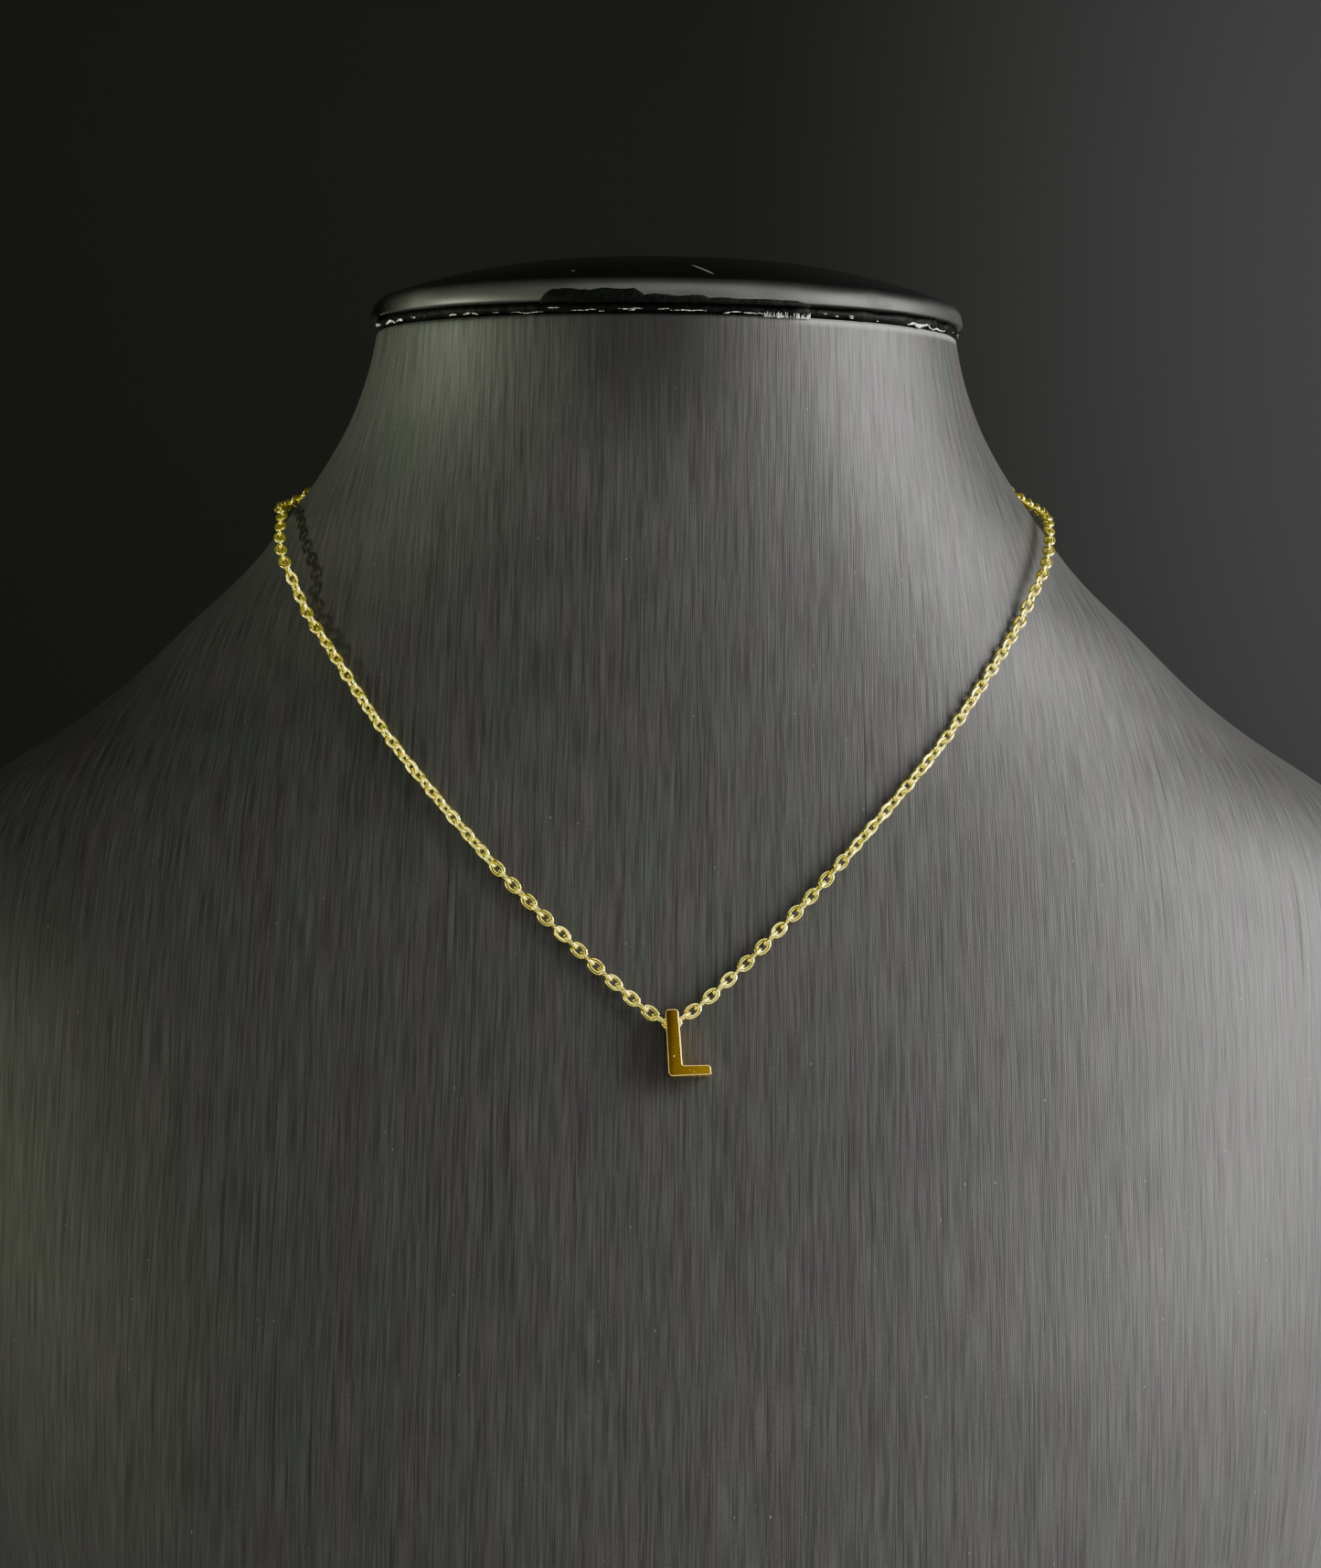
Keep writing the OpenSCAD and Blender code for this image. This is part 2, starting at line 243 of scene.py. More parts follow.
# Painted shade: the covering is darkened just under the cap, where shade falls
painted_shade = side.between(*PAINTED_SHADE_BEGINS) * (1 - side.between(*PAINTED_SHADE_ENDS))
painted_shade = painted_shade * height.between(*(bust_high.z - down for down in PAINTED_SHADE_DOWN))
worn = 0.3 * ribs + 0.5 * threads.between(0.28, 0.72) + 0.2 * streaks.between(0.32, 0.68)
shade = worn * (0.85 + 0.3 * handling) * (1 - 0.6 * cut) * (0.6 + 0.8 * grit) * (1 - 0.7 * painted_shade)
charcoal = warmth.between(0.35, 0.65).mix(rgb(0.038, 0.043, 0.038), rgb(0.044, 0.039, 0.041))
cloth = shade.mix(rgb(0.002, 0.002, 0.002), charcoal)
# Painted highlight: the covering's top edge on the right is painted pale grey where light catches it
edge_highlight_band = height.between(*(bust_high.z - down for down in EDGE_HIGHLIGHT_DOWN))
pale = edge_highlight_band * side.between(*EDGE_HIGHLIGHT_BEGINS) * (0.5 + 0.8 * threads)
colour = lint.mix(pale.mix(cloth, rgb(0.11, 0.11, 0.11)), rgb(0.09, 0.09, 0.09))
set_shader(leatherette, {
    "Base Color": colour,
    "Roughness": 0.54 - 0.10 * worn + 0.08 * handling + 0.1 * cut,
    "Normal": (ribs * 0.3 + threads * 0.9 + streaks * 0.3 + grit * 0.3 - cut * 0.5).bump(0.42, 0.06 * mm),
    "Specular IOR Level": 0.26,
})
dress(bust, leatherette, "covering", "neck_bust")


# The neck cap is a moulded black plastic lid, glued into the open top of the neck. Its domed top is
# polished, and its rim is rubbed and hazed by the glue. The grey band on the rim is partly that haze
# and partly a painted reflection of the lit room, painted dimmer towards the right.

def ellipse(half_width, half_depth, height, count=128):
    """A level ring about the neck axis, from the back round."""
    turns = [math.tau * (k / count + 0.5) for k in range(count)]
    return [Vector((half_width * math.sin(t), axis_y - half_depth * math.cos(t), height)) for t in turns]


cap_half_w = (cap_high.x - cap_low.x) / 2
cap_half_d = (cap_high.y - cap_low.y) / 2
CAP_LIP = 0.8 * mm
CAP_FOOT_IN = 2.5 * mm
CAP_FOOT_H = 1.5 * mm
CAP_RIM_H = 0.5 * mm
CAP_EDGE_R = 3.4 * mm
CAP_SLOPE = math.radians(20)
RIM_TURN = 0.15 * mm
rim_z = cap_low.z + CAP_FOOT_H
edge_z = rim_z + CAP_RIM_H


def rim_inset(height):
    """How far the cap's rounded edge has drawn in at a height."""
    lift = min(max(0, height - edge_z), CAP_EDGE_R)
    return CAP_EDGE_R - math.sqrt(CAP_EDGE_R ** 2 - lift ** 2)


def cap_rows():
    """The cap's rings from its foot up, as how far each stands in from the rim and its height."""
    foot = CAP_FOOT_IN + CAP_LIP
    profile = [(foot, cap_low.z), (foot, rim_z), (RIM_TURN, rim_z), (0, rim_z + RIM_TURN), (0, edge_z)]
    sweep = math.pi / 2 - CAP_SLOPE
    for k in range(1, 9):
        angle = sweep * k / 8
        profile.append((CAP_EDGE_R * (1 - math.cos(angle)), edge_z + CAP_EDGE_R * math.sin(angle)))
    dome_in, dome_z = profile[-1]
    reach = cap_half_d - dome_in
    for share in (0.06, 0.14, 0.25, 0.38, 0.52, 0.68, 0.85):
        rise = reach * math.tan(CAP_SLOPE) / 2 * (1 - (1 - share) ** 2)
        profile.append((dome_in + reach * share, dome_z + rise))
    return [ellipse(cap_half_w - inset, cap_half_d - inset, height) for inset, height in profile]


cap = loft("neck_cap_shell", cap_rows())
refine(cap, 1)

# Old scratches on the dome: from and to, in millimetres to the right and back
SCRATCHES = [(3.6, -7.8, 6.8, -14.2), (-14.2, -10.5, -13.8, -11.1)]
# The grey band on the rim, partly rubbed haze and partly painted reflection: how far right it begins,
# how far right it fades, and how high it reaches
RIM_BAND_BEGINS = -46 * mm, -37 * mm
RIM_BAND_FADES = 4 * mm, 34 * mm
RIM_BAND_HEIGHT = 0.9 * mm, 3.4 * mm


def scratched(side, depth, x, y, x2, y2):
    """A mask of one scratch, faint at its ends."""
    length = math.hypot(x2 - x, y2 - y)
    u, v = (x2 - x) / length, (y2 - y) / length
    along = side * u + depth * v - (x * u + y * v) * mm
    off = (side * v - depth * u - (x * v - y * u) * mm).maths("ABSOLUTE")
    reach = length * mm
    ends = along.between(-0.1 * reach, 0.3 * reach) * (1 - along.between(0.8 * reach, 1.1 * reach))
    return ends * (1 - off.between(0.05 * mm, 0.33 * mm))


black_plastic, place = new_finish("black_plastic")
side, depth, height = place.axis("x"), place.axis("y"), place.axis("z")
smudge = place.speckle(9 * mm, 4.0)
pores = place.speckle(0.5 * mm, 3.0)
rubs = place.stretched(1, 1, 0.2).speckle(0.35 * mm, 3.0)
ripple = place.speckle(11 * mm, 1.0)
# Painted reflection, partly real haze: the rim's rounded edge is painted grey where it mirrors the lit
# room, and the band is painted dimmer and made rougher towards the right
rim_band_height = 1 - height.between(*(edge_z + lift for lift in RIM_BAND_HEIGHT))
haze_and_painted_reflection = rim_band_height * side.between(*RIM_BAND_BEGINS) * (0.35 + 0.5 * smudge + 0.35 * rubs)
marks = sum(scratched(side, depth, *scratch) for scratch in SCRATCHES) * (0.4 + 0.9 * pores)
band_fades_right = side.between(*RIM_BAND_FADES)
plastic_and_painted_band = (haze_and_painted_reflection * (1 - 0.75 * band_fades_right)).mix(rgb(0.001, 0.001, 0.001), rgb(0.046, 0.048, 0.044))
set_shader(black_plastic, {
    "Base Color": marks.mix(plastic_and_painted_band, rgb(0.13, 0.13, 0.12)),
    "Roughness": 0.19 + (0.30 + 0.12 * band_fades_right) * haze_and_painted_reflection + 0.10 * smudge.between(0.5, 0.75) + 0.3 * marks,
    "Normal": (ripple * 2 + pores * 0.15 + rubs * 0.2 * haze_and_painted_reflection).bump(0.35, 0.1 * mm),
    "Specular IOR Level": 0.27,
})
dress(cap, black_plastic, "cap", "neck_cap")


# Glue holds the cap down. It was squeezed out as a dark uneven bead between rim and covering, was
# smeared up over the rim at the front, and left pale strings and a frayed edge where it set.

neck_half_w = cap_half_w - CAP_LIP
neck_half_d = cap_half_d - CAP_LIP
neck_top = bust_high.z


def outward(turn):
    """The way out from the neck, so many degrees round from the front."""
    angle = math.radians(turn)
    return Vector((math.sin(angle), -math.cos(angle), 0))


def round_the_neck(turn, proud, height):
    """A point at a height, so far proud of the covering, so many degrees round from the front."""
    out = outward(turn)
    return Vector(((neck_half_w + proud) * out.x, axis_y + (neck_half_d + proud) * out.y, height))


def uneven(turn, scale, seed):
    """A number that wanders between about -0.5 and 0.5 along the neck's edge."""
    return noise.noise(outward(turn) * scale + Vector((0, 0, seed)))


def bead_rows(count=400, sides=10):
    """The bead's cross-sections, one after another round the neck."""
    rows = []
    for k in range(count):
        turn = 360 * k / count
        wander, ripples = uneven(turn, 9, 0), uneven(turn, 45, 3)
        proud = (-0.95 + 0.4 * wander + 0.2 * ripples) * mm
        half_h = (0.85 + 0.2 * wander + 0.15 * ripples) * mm
        row = []
        for m in range(sides):
            angle = math.tau * m / sides
            reach = (0.8 + 0.35 * ripples) * mm * math.cos(angle)
            level = neck_top + 0.75 * mm + half_h * math.sin(angle)
            row.append(round_the_neck(turn, proud + reach, level))
        rows.append(row)
    return rows


# Where glue was smeared over the rim: from and to, in degrees round from the front, and how high
SMEARS = [(-22.7, -3.2, 1.75), (-5, 8, 0.8), (5, 26, 0.5), (-80, -71, 0.6)]
SMEAR_PROUD = 0.16 * mm
SMEAR_SKIN = 0.3 * mm


def smear_rows(start, end, height, seed):
    """Cross-sections of a thin patch that hugs the rim, with a chipped upper edge."""
    steps = int((end - start) * 5)
    low = rim_z - 0.35 * mm
    rows = []
    for k in range(steps + 1):
        turn = start + (end - start) * k / steps
        ends = min(1, 8 * k / steps, 8 * (steps - k) / steps) ** 0.5
        chips = uneven(turn, 14, seed) + 0.3 * uneven(turn, 70, seed + 5)
        high = low + max(0.1 * mm, (height * (1 + 0.3 * chips) + 0.35) * mm * ends)
        face = []
        for share in (0, 0.15, 0.5, 0.85, 1):
            level = low + (high - low) * share
            bulge = SMEAR_PROUD * math.sqrt(max(0, 1 - (2 * share - 1) ** 2)) * (1 + chips)
            face.append((CAP_LIP - rim_inset(level) + bulge * ends, level))
        back = [(proud - SMEAR_SKIN, level) for proud, level in reversed(face)]
        rows.append([round_the_neck(turn, proud, level) for proud, level in face + back])
    return rows


def joined(name, pieces):
    """Joins pieces made apart into one."""
    build = bmesh.new()
    for piece in pieces:
        build.from_mesh(piece.data)
        bpy.data.objects.remove(piece)
    mesh = bpy.data.meshes.new(name)
    build.to_mesh(mesh)
    build.free()
    mesh.shade_smooth()
    whole = bpy.data.objects.new(name, mesh)
    bpy.context.scene.collection.objects.link(whole)
    return whole


glue, place = new_finish("set_glue")
lumps = place.speckle(0.9 * mm, 3.0)
set_shader(glue, {
    "Base Color": lumps.between(0.4, 0.75).mix(rgb(0.0002, 0.0006, 0.0002), rgb(0.002, 0.004, 0.002)),
    "Roughness": 0.42 + 0.35 * lumps,
    "Normal": lumps.bump(0.5, 0.2 * mm),
    "Specular IOR Level": 0.06,
})
dark_glue = [loft("bead", bead_rows(), ends="joined")]
dark_glue += [loft("smear", smear_rows(*smear, seed)) for seed, smear in enumerate(SMEARS)]
dress(joined("glue_bead", dark_glue), glue, "cap")

# Pale strings of glue along the neck's edge: from and to, in degrees round from the front, and
# thickness and height over the covering's edge in millimetres
STRINGS = [(-79, -72.5, 0.42, 0.4), (-68, -62.5, 0.46, 0.3), (-62, -59, 0.4, 0.3),
           (-43.6, -41.6, 0.18, 0.2), (-40, -38.2, 0.2, 0.2), (-37.9, -36.2, 0.2, 0.2),
           (-33, -31.6, 0.1, 0.1), (-29, -22.4, 0.08, 0.15), (-21.5, -18.6, 0.16, 0.75),
           (-17.2, -12.6, 0.1, 0.25), (-8.6, -4.3, 0.11, 0.5), (-1.6, 0.4, 0.12, 0.5),
           (0.5, 6.9, 0.1, 0.3), (10, 13.2, 0.08, 0.05), (13.6, 16.4, 0.09, 0.05),
           (50.5, 58, 0.42, 0.25), (58.5, 67, 0.22, 0.1)]
FRAYED = (17.5, 26.5)


def string_rows(start, end, thick, lift, sides=7):
    """Cross-sections of one string of glue, thick in the middle and drawn out at its ends."""
    steps = max(8, int((end - start) * 6))
    rows = []
    for k in range(steps + 1):
        turn = start + (end - start) * k / steps
        size = thick * mm * (0.25 + 0.75 * math.sin(math.pi * k / steps)) * (1 + uneven(turn, 120, 9))
        centre = neck_top + (lift + 0.3 * uneven(turn, 25, 11)) * mm
        turns = [math.tau * m / sides for m in range(sides)]
        rows.append([round_the_neck(turn, 0.05 * mm + 0.6 * size * math.cos(t),
                                    centre + 0.5 * size * math.sin(t)) for t in turns])
    return rows


def frayed_rows(turn, length, thick, sides=5):
    """Cross-sections of one short fibre that stands up from the covering's cut edge."""
    rows = []
    for k in range(5):
        size = thick * (1 - 0.2 * k)
        height = neck_top - 0.35 * mm + length * k / 4
        lean = uneven(turn, 60, 2) * 0.5 * mm * k / 4
        turns = [math.tau * m / sides for m in range(sides)]
        rows.append([round_the_neck(turn, 0.1 * mm + lean + size * math.cos(t), height)
                     + outward(turn + 90) * size * math.sin(t) for t in turns])
    return rows


def pale_glue():
    """All strings, the frayed edge and crumbs round the rest of the neck."""
    rolled = random.Random(5)
    pieces = [loft("string", string_rows(*string)) for string in STRINGS]
    for k in range(60):
        turn = rolled.uniform(*FRAYED)
        fibre = frayed_rows(turn, rolled.uniform(0.25, 0.9) * mm, rolled.uniform(0.03, 0.08) * mm)
        pieces.append(loft("fibre", fibre))
    for k in range(46):
        turn = rolled.uniform(-60, 260)
        size = rolled.uniform(0.3, 1.4), rolled.uniform(0.08, 0.2), rolled.uniform(0, 0.6)
        pieces.append(loft("crumb", string_rows(turn, turn + size[0], *size[1:])))
    return joined("glue_strings", pieces)


clear_glue, place = new_finish("clear_glue")
cloud = place.speckle(0.5 * mm, 2.0)
set_shader(clear_glue, {
    "Base Color": cloud.between(0.35, 0.7).mix(rgb(0.10, 0.10, 0.09), rgb(0.88, 0.87, 0.82)),
    "Roughness": 0.12 + 0.2 * cloud,
    "Normal": cloud.bump(0.5, 0.1 * mm),
    "Coat Weight": 1.0,
    "Coat Roughness": 0.05,
})
dress(pale_glue(), clear_glue, "cap")


# The chain is a fine cable chain in polished yellow gold. Each oval link is bent from wire that is
# pressed a little flat, closed by soldering, and hangs in the next link at a quarter turn.

LINK_LENGTH = 2.84 * mm
LINK_WIDTH = 1.92 * mm
WIRE_WIDTH = 0.51 * mm
WIRE_THICK = 0.42 * mm
LINK_SQUARENESS = 2.05
WIRE_SQUARENESS = 3.4
# How far a link may lean in its neighbour, in radians
LINK_LEAN = 0.05


def rounded(angle, power):
    """A point of a superellipse of half sizes 1."""
    x, y = math.cos(angle), math.sin(angle)
    return (math.copysign(abs(x) ** (2 / power), x), math.copysign(abs(y) ** (2 / power), y))


def link_middle(angle):
    """The middle of the wire at an angle round the link."""
    x, y = rounded(angle, LINK_SQUARENESS)
    return np.array([x * (LINK_LENGTH - WIRE_WIDTH) / 2, y * (LINK_WIDTH - WIRE_WIDTH) / 2, 0])


def link_points(steps=32, around=12):
    """One link about its own centre: length along X, width along Y, as rows of wire sections."""
    rows = []
    for k in range(steps):
        angle = math.tau * k / steps
        centre, ahead = link_middle(angle), link_middle(angle + 0.01)
        along = (ahead - centre) / np.linalg.norm(ahead - centre)
        out = np.array([along[1], -along[0], 0])
        row = []
        for m in range(around):
            u, v = rounded(math.tau * (m + 0.5) / around, WIRE_SQUARENESS)
            row.append(centre + out * u * WIRE_WIDTH / 2 + np.array([0, 0, v * WIRE_THICK / 2]))
        rows.append(row)
    return np.array(rows)


def link_places(node):
    """Centre and axes of every link of a side of the chain: its length, width and thickness."""
    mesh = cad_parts[node].data
    build = bmesh.new()
    build.from_mesh(mesh)
    bmesh.ops.remove_doubles(build, verts=build.verts, dist=0.0005 * mm)
    places = []
    waiting = set(build.verts)
    while waiting:
        island = [waiting.pop()]
        for vert in island:
            for edge in vert.link_edges:
                other = edge.other_vert(vert)
                if other in waiting:
                    waiting.remove(other)
                    island.append(other)
        points = np.array([vert.co for vert in island])
        centre = points.mean(0)
        spread, axes = np.linalg.eigh(np.cov((points - centre).T))
        places.append((centre, axes[:, ::-1]))
    build.free()
    places.sort(key=lambda place: tuple(place[0]))
    return places


def chain_side(name, node):
    """All links of one side as one mesh."""
    rows = link_points()
    steps, around = rows.shape[:2]
    points, faces = [], []
    rolled = random.Random(len(node))
    for centre, axes in link_places(node):
        first = len(points)
        turn = Matrix.Rotation(rolled.uniform(-LINK_LEAN, LINK_LEAN), 3, "X")
        points += [tuple(centre + axes @ (np.array(turn) @ point)) for point in rows.reshape(-1, 3)]
        for j in range(steps):
            for m in range(around):
                a, b = (j + 1) % steps, (m + 1) % around
                corners = (j * around + m, j * around + b, a * around + b, a * around + m)
                if np.linalg.det(axes) < 0:
                    corners = corners[::-1]
                faces.append([first + corner for corner in corners])
    mesh = bpy.data.meshes.new(name)
    mesh.from_pydata(points, [], faces)
    mesh.shade_smooth()
    piece = bpy.data.objects.new(name, mesh)
    bpy.context.scene.collection.objects.link(piece)
    return piece


chain_gold, place = new_finish("chain_gold")
brush = place.speckle(0.25 * mm, 3.0)
tarnish = place.speckle(1.6 * mm, 2.0)
set_shader(chain_gold, {
    "Base Color": tarnish.between(0.35, 0.8).mix(rgb(1.0, 0.93, 0.17), rgb(0.98, 0.82, 0.10)),
    "Metallic": 0.9,
    "Roughness": 0.07 + 0.10 * brush,
    "Normal": brush.bump(0.4, 0.03 * mm),
})
for side in ("left", "right"):
    links = chain_side("chain_links_" + side, "chain_" + side)
    dress(links, chain_gold, "chain_gold", "chain_" + side)


# The letter is cast in yellow gold and polished. It is a plain capital L with softened edges, and
# the chain slides through a bore across the top of its stem.

LETTER_CORNER = 0.35 * mm
LETTER_EDGE = 0.08 * mm
letter_low, letter_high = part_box("pendant")


def sharp_edges(build):
    """The edges where two faces meet at a clear angle."""
    return [edge for edge in build.edges
            if len(edge.link_faces) == 2 and edge.calc_face_angle() > math.radians(50)]


def letter_piece():
    """The letter's node with its flat faces joined up and its edges softened."""
    build = bmesh.new()
    build.from_mesh(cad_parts["pendant"].data)
    bmesh.ops.remove_doubles(build, verts=build.verts, dist=0.001 * mm)
    bmesh.ops.dissolve_limit(build, angle_limit=math.radians(0.5), verts=build.verts, edges=build.edges)
    # The outline's corners run through the letter's depth; the bore's short edges stay as they are
    corners = [edge for edge in sharp_edges(build) if edge.calc_length() > 1 * mm
               and abs(edge.verts[0].co.y - edge.verts[1].co.y) > 0.95 * edge.calc_length()]
    bmesh.ops.bevel(build, geom=corners, offset=LETTER_CORNER, segments=5, profile=0.5,
                    affect="EDGES", clamp_overlap=False)
    edges = bmesh.ops.bevel(build, geom=sharp_edges(build), offset=LETTER_EDGE, segments=3,
                            profile=0.5, affect="EDGES", clamp_overlap=False)
    for face in edges["faces"]:
        face.material_index = 1
    for face in build.faces:
        face.smooth = True
    mesh = bpy.data.meshes.new("letter")
    build.to_mesh(mesh)
    build.free()
    piece = bpy.data.objects.new("letter", mesh)
    bpy.context.scene.collection.objects.link(piece)
    tidy = piece.modifiers.new("normals", "WEIGHTED_NORMAL")
    tidy.keep_sharp = True
    return piece


letter_gold, place = new_finish("letter_gold")
across = place.axis("x")
polish = place.speckle(2.4 * mm, 2.0)
marks = place.stretched(1, 1, 0.2).speckle(0.12 * mm, 2.0)
# Painted reflection: a ramp across the letter paints its face dark brown on the left and ochre on the
# right, as the room's reflection falls; the same ramp also tilts the face through the bump and lowers its
# metalness a little
painted_reflection_ramp = across.between(letter_low.x + 0.2 * mm, letter_low.x + 1.7 * mm)
bar = across.between(letter_low.x + 1.5 * mm, letter_high.x - 0.6 * mm)
specks = place.speckle(0.35 * mm, 0.0).between(0.81, 0.85)
gold = (painted_reflection_ramp * 0.8 + polish * 0.2).mix(rgb(0.60, 0.25, 0.01), rgb(1.0, 0.62, 0.04))
set_shader(letter_gold, {
    "Base Color": specks.mix(gold, rgb(1.0, 0.9, 0.6)),
    "Metallic": 1 - 0.05 * painted_reflection_ramp - 0.05 * bar,
    "Roughness": 0.16 + 0.05 * marks.between(0.5, 0.8) + 0.3 * specks,
    "Normal": (painted_reflection_ramp * 1.6 + polish + 0.02 * marks).bump(1.0, 0.03 * mm),
})
letter = letter_piece()
dress(letter, letter_gold, "letter_gold", "pendant")

# The letter's softened edges: rubbed, and also painted paler and partly matte as a painted highlight, so
# that they show as bright outlines
rubbed_edge_painted_highlight, place = new_finish("rubbed_edge_painted_highlight")
rubbing = place.speckle(0.6 * mm, 3.0)
set_shader(rubbed_edge_painted_highlight, {
    "Base Color": rubbing.mix(rgb(1.0, 0.66, 0.14), rgb(1.0, 0.84, 0.34)),
    "Metallic": 0.75 + 0.25 * rubbing,
    "Roughness": 0.28 + 0.1 * rubbing,
})
letter.data.materials.append(rubbed_edge_painted_highlight)


# Behind the neck the chain closes with a spring ring clasp: a hollow ring with a collar at each end
# of its gap, a thin bolt that a small lever draws back, and an eye soldered to it.

CLASP_D = 5.5 * mm
CLASP_WIRE = 1.1 * mm
BOLT_WIRE = 0.7 * mm
COLLAR_WIRE = 1.3 * mm
LEVER_WIRE = 0.42 * mm
EYE_D = 2.3 * mm
EYE_WIRE = 0.5 * mm
RING_D = 3.0 * mm
RING_WIRE = 0.5 * mm

# Half the gap, half a collar, and where the lever stands before the gap, in degrees round the ring
GAP_HALF = 24
COLLAR_HALF = 4
LEVER_FROM_GAP = 34
# The lever from its foot out: height in millimetres, and width as a share of its wire
LEVER_SECTIONS = [(0, 0.8), (0.35, 0.8), (0.55, 0.85), (0.7, 1.1), (0.85, 1.2), (1.0, 1.0),
                  (1.08, 0.55)]


def wire_arc(centre, first, second, diameter, wire, start=0, end=360, sides=16):
    """A round wire bent to an arc: its outer diameter, and its ends in degrees from the first axis."""
    bend = (diameter - wire) / 2
    whole = end - start >= 360
    steps = max(3, int((end - start) / 5))
    out = first.cross(second)
    rows = []
    for k in range(steps if whole else steps + 1):
        angle = math.radians(start + (end - start) * k / steps)
        away = first * math.cos(angle) + second * math.sin(angle)
        row = []
        for m in range(sides):
            turn = math.tau * m / sides
            row.append(centre + away * (bend + wire / 2 * math.cos(turn))
                       + out * (wire / 2 * math.sin(turn)))
        rows.append(row)
    return loft("wire", rows, ends="joined" if whole else "closed")


def node_axes(node):
    """A node's middle and its own axes, from the longest to the thinnest way through it."""
    points = np.array([corner.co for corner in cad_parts[node].data.vertices])
    points = np.unique(points.round(7), axis=0)
    middle = points.mean(0)
    spread, axes = np.linalg.eigh(np.cov((points - middle).T))
    return points, middle, [Vector(axes[:, k]) for k in (2, 1, 0)]


def spring_ring():
    """The clasp, laid out from its node: the ring's centre, and the way to its eye."""
    points, middle, (along, across, thin) = node_axes("clasp")
    reach = (points - middle) @ np.array(along)
    if reach.max() < -reach.min():
        along, reach = -along, -reach
    centre = Vector(middle) + along * (reach.min() + CLASP_D / 2)
    bend = (CLASP_D - CLASP_WIRE) / 2
    eye = centre + along * (CLASP_D / 2 + EYE_D / 2 - EYE_WIRE / 2)
    gap = 180 - GAP_HALF, 180 + GAP_HALF

    def on_ring(wire, start, end):
        """A wire bent along the ring's own middle line."""
        return wire_arc(centre, along, across, CLASP_D - CLASP_WIRE + wire, wire, start, end)

    pieces = [on_ring(CLASP_WIRE, gap[1] - 360, gap[0]),
              on_ring(BOLT_WIRE, gap[0] - COLLAR_HALF, gap[1] + COLLAR_HALF),
              wire_arc(eye, along, across, EYE_D, EYE_WIRE)]
    pieces += [on_ring(COLLAR_WIRE, end - COLLAR_HALF, end + COLLAR_HALF) for end in gap]
    turn = math.radians(gap[0] - LEVER_FROM_GAP)
    away = along * math.cos(turn) + across * math.sin(turn)
    foot = centre + away * (bend + CLASP_WIRE * 0.3)
    side = away.cross(thin)
    rows = []
    for lift, width in LEVER_SECTIONS:
        spot, half = foot + away * lift * mm, LEVER_WIRE / 2 * width
        turns = [math.tau * m / 12 for m in range(12)]
        rows.append([spot + side * half * math.cos(t) + thin * half * math.sin(t) for t in turns])
    pieces.append(loft("lever", rows))
    return joined("spring_ring_clasp", pieces)


dress(spring_ring(), chain_gold, "chain_gold", "clasp")
for node in ("end_ring_left", "end_ring_right"):
    points, middle, (along, across, thin) = node_axes(node)
    ring = wire_arc(Vector(middle), along, across, RING_D, RING_WIRE, 92, 448)
    ring.name = node.replace("end", "jump")
    dress(ring, chain_gold, "chain_gold", node)


# A plain studio: a pale floor that sweeps up into a darker wall, a large soft light on the right,
# weaker ones on the left, low in front and above, a narrow one on the neck's left side, and the
# camera in front of the neck.

def sweep():
    """The floor and the wall behind it in one sheet, sized in metres."""
    half, front, back, bend, top = 2.2, -2.4, 1.3, 0.5, 2.4
    angles = [math.radians(a) for a in range(0, 91, 6)]
    curve = [(back - bend + bend * math.sin(a), bend - bend * math.cos(a)) for a in angles]
    side = [(front, 0)] + curve + [(back, top)]
    mesh = bpy.data.meshes.new("studio_sweep")
    points = [(x, y, z) for y, z in side for x in (-half, half)]
    faces = [(2 * k, 2 * k + 1, 2 * k + 3, 2 * k + 2) for k in range(len(side) - 1)]
    mesh.from_pydata(points, [], faces)
    mesh.shade_smooth()
    piece = bpy.data.objects.new("studio_sweep", mesh)
    bpy.context.scene.collection.objects.link(piece)
    return piece


# How high over the floor the sheet turns dark: from and to
WALL_DARK = 3 * mm, 45 * mm

floor_paint, place = new_finish("pale_floor")
side, height = place.axis("x"), place.axis("z")
paper = place.speckle(0.5, 2.0).mix(rgb(0.58, 0.58, 0.57), rgb(0.62, 0.62, 0.61))
# Painted light: the wall's paint goes from near black on the left to dark grey on the right, standing in
# for how light falls on it; the turn from pale floor to dark wall is two-tone paint
wall_tone_painted_light = side.between(0.0, 0.7).mix(rgb(0.008, 0.009, 0.006), rgb(0.082, 0.082, 0.088))
set_shader(floor_paint, {
    "Base Color": height.between(*WALL_DARK).mix(paper, wall_tone_painted_light),
    "Roughness": 0.9,
    "Specular IOR Level": 0.25,
})
floor = sweep()
floor.data.materials.append(floor_paint)


def hang(light, target, away):
    """Hangs a light so far away from its target, and points it there."""
    lamp = bpy.data.objects.new(light.name, light)
    lamp.location = target + away
    lamp.rotation_euler = away.to_track_quat("Z", "Y").to_euler()
    bpy.context.scene.collection.objects.link(lamp)


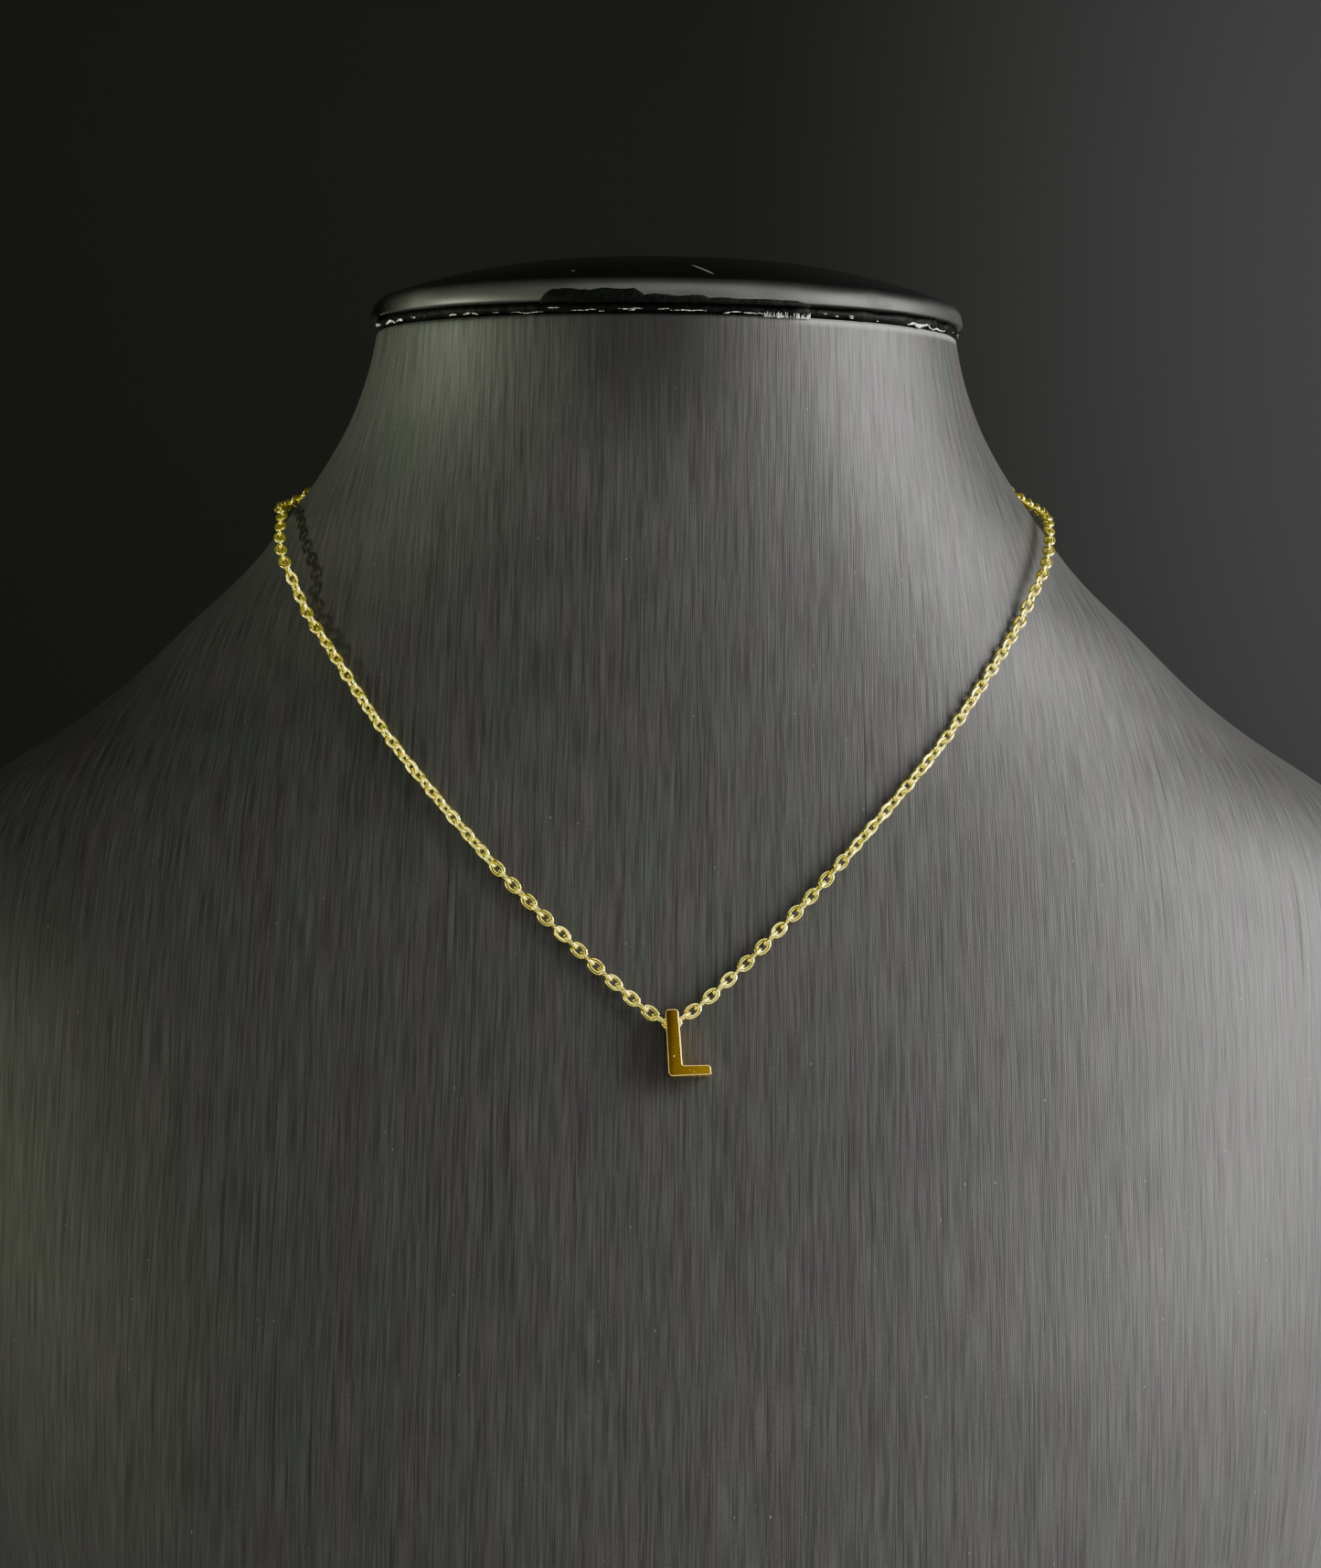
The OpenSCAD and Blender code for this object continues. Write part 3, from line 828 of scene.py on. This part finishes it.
def soft_light(name, azimuth, elevation, distance, width, height, power, colour):
    """A soft box that looks at the chest, so many degrees round to the right and up."""
    chest = Vector((0, -0.03, 0.15))
    a, e = math.radians(azimuth), math.radians(elevation)
    direction = Vector((math.sin(a) * math.cos(e), -math.cos(a) * math.cos(e), math.sin(e)))
    light = bpy.data.lights.new(name, "AREA")
    light.shape = "RECTANGLE"
    light.size = width
    light.size_y = height
    light.energy = power
    light.color = colour
    hang(light, chest, direction * distance)


# Name, degrees round and up, then distance, width and height in metres, power and colour
soft_light("right_softbox", 76, 20, 0.85, 0.52, 0.62, 31, (1.0, 0.985, 0.96))
soft_light("left_card", -72, 0, 1.0, 0.45, 0.3, 3.4, (0.92, 1.0, 0.68))
soft_light("low_front", 4, 4, 1.2, 0.9, 0.08, 2.4, (1.0, 0.98, 0.95))
soft_light("top_card", 12, 62, 1.0, 0.9, 0.6, 4.2, (1.0, 0.98, 0.95))

snoot = bpy.data.lights.new("neck_snoot", "SPOT")
snoot.energy = 82
snoot.color = (0.90, 1.0, 0.74)
snoot.spot_size = math.radians(5)
snoot.spot_blend = 1.0
snoot.shadow_soft_size = 0.035
neck_left = Vector((-46 * mm, axis_y - 16 * mm, 231 * mm))
SNOOT_AWAY = Vector((-0.96, -0.22, 0.08))
hang(snoot, neck_left, SNOOT_AWAY)

world = bpy.data.worlds.new("studio_air")
world.use_nodes = True
world.node_tree.nodes["Background"].inputs["Color"].default_value = rgb(0.30, 0.30, 0.31)
world.node_tree.nodes["Background"].inputs["Strength"].default_value = 0.12
bpy.context.scene.world = world

# Where the camera stands, from the neck's axis and the floor, and how it leans, in degrees
CAMERA_AWAY = 352 * mm
CAMERA_HEIGHT = 206.8 * mm
CAMERA_LEFT = 0.05 * mm
CAMERA_DOWN = 6.76
CAMERA_ROLL = 0.72

lens = bpy.data.cameras.new("camera")
lens.sensor_fit = "HORIZONTAL"
lens.sensor_width = 36
lens.lens = 57.3
lens.clip_start = 0.01
camera = bpy.data.objects.new("camera", lens)
camera.location = (-CAMERA_LEFT, axis_y - CAMERA_AWAY, CAMERA_HEIGHT)
look_down = Matrix.Rotation(math.radians(90 - CAMERA_DOWN), 3, "X")
roll = Matrix.Rotation(math.radians(CAMERA_ROLL), 3, "Z")
camera.rotation_euler = (look_down @ roll).to_euler()
bpy.context.scene.collection.objects.link(camera)
bpy.context.scene.camera = camera

bpy.context.view_layer.update()
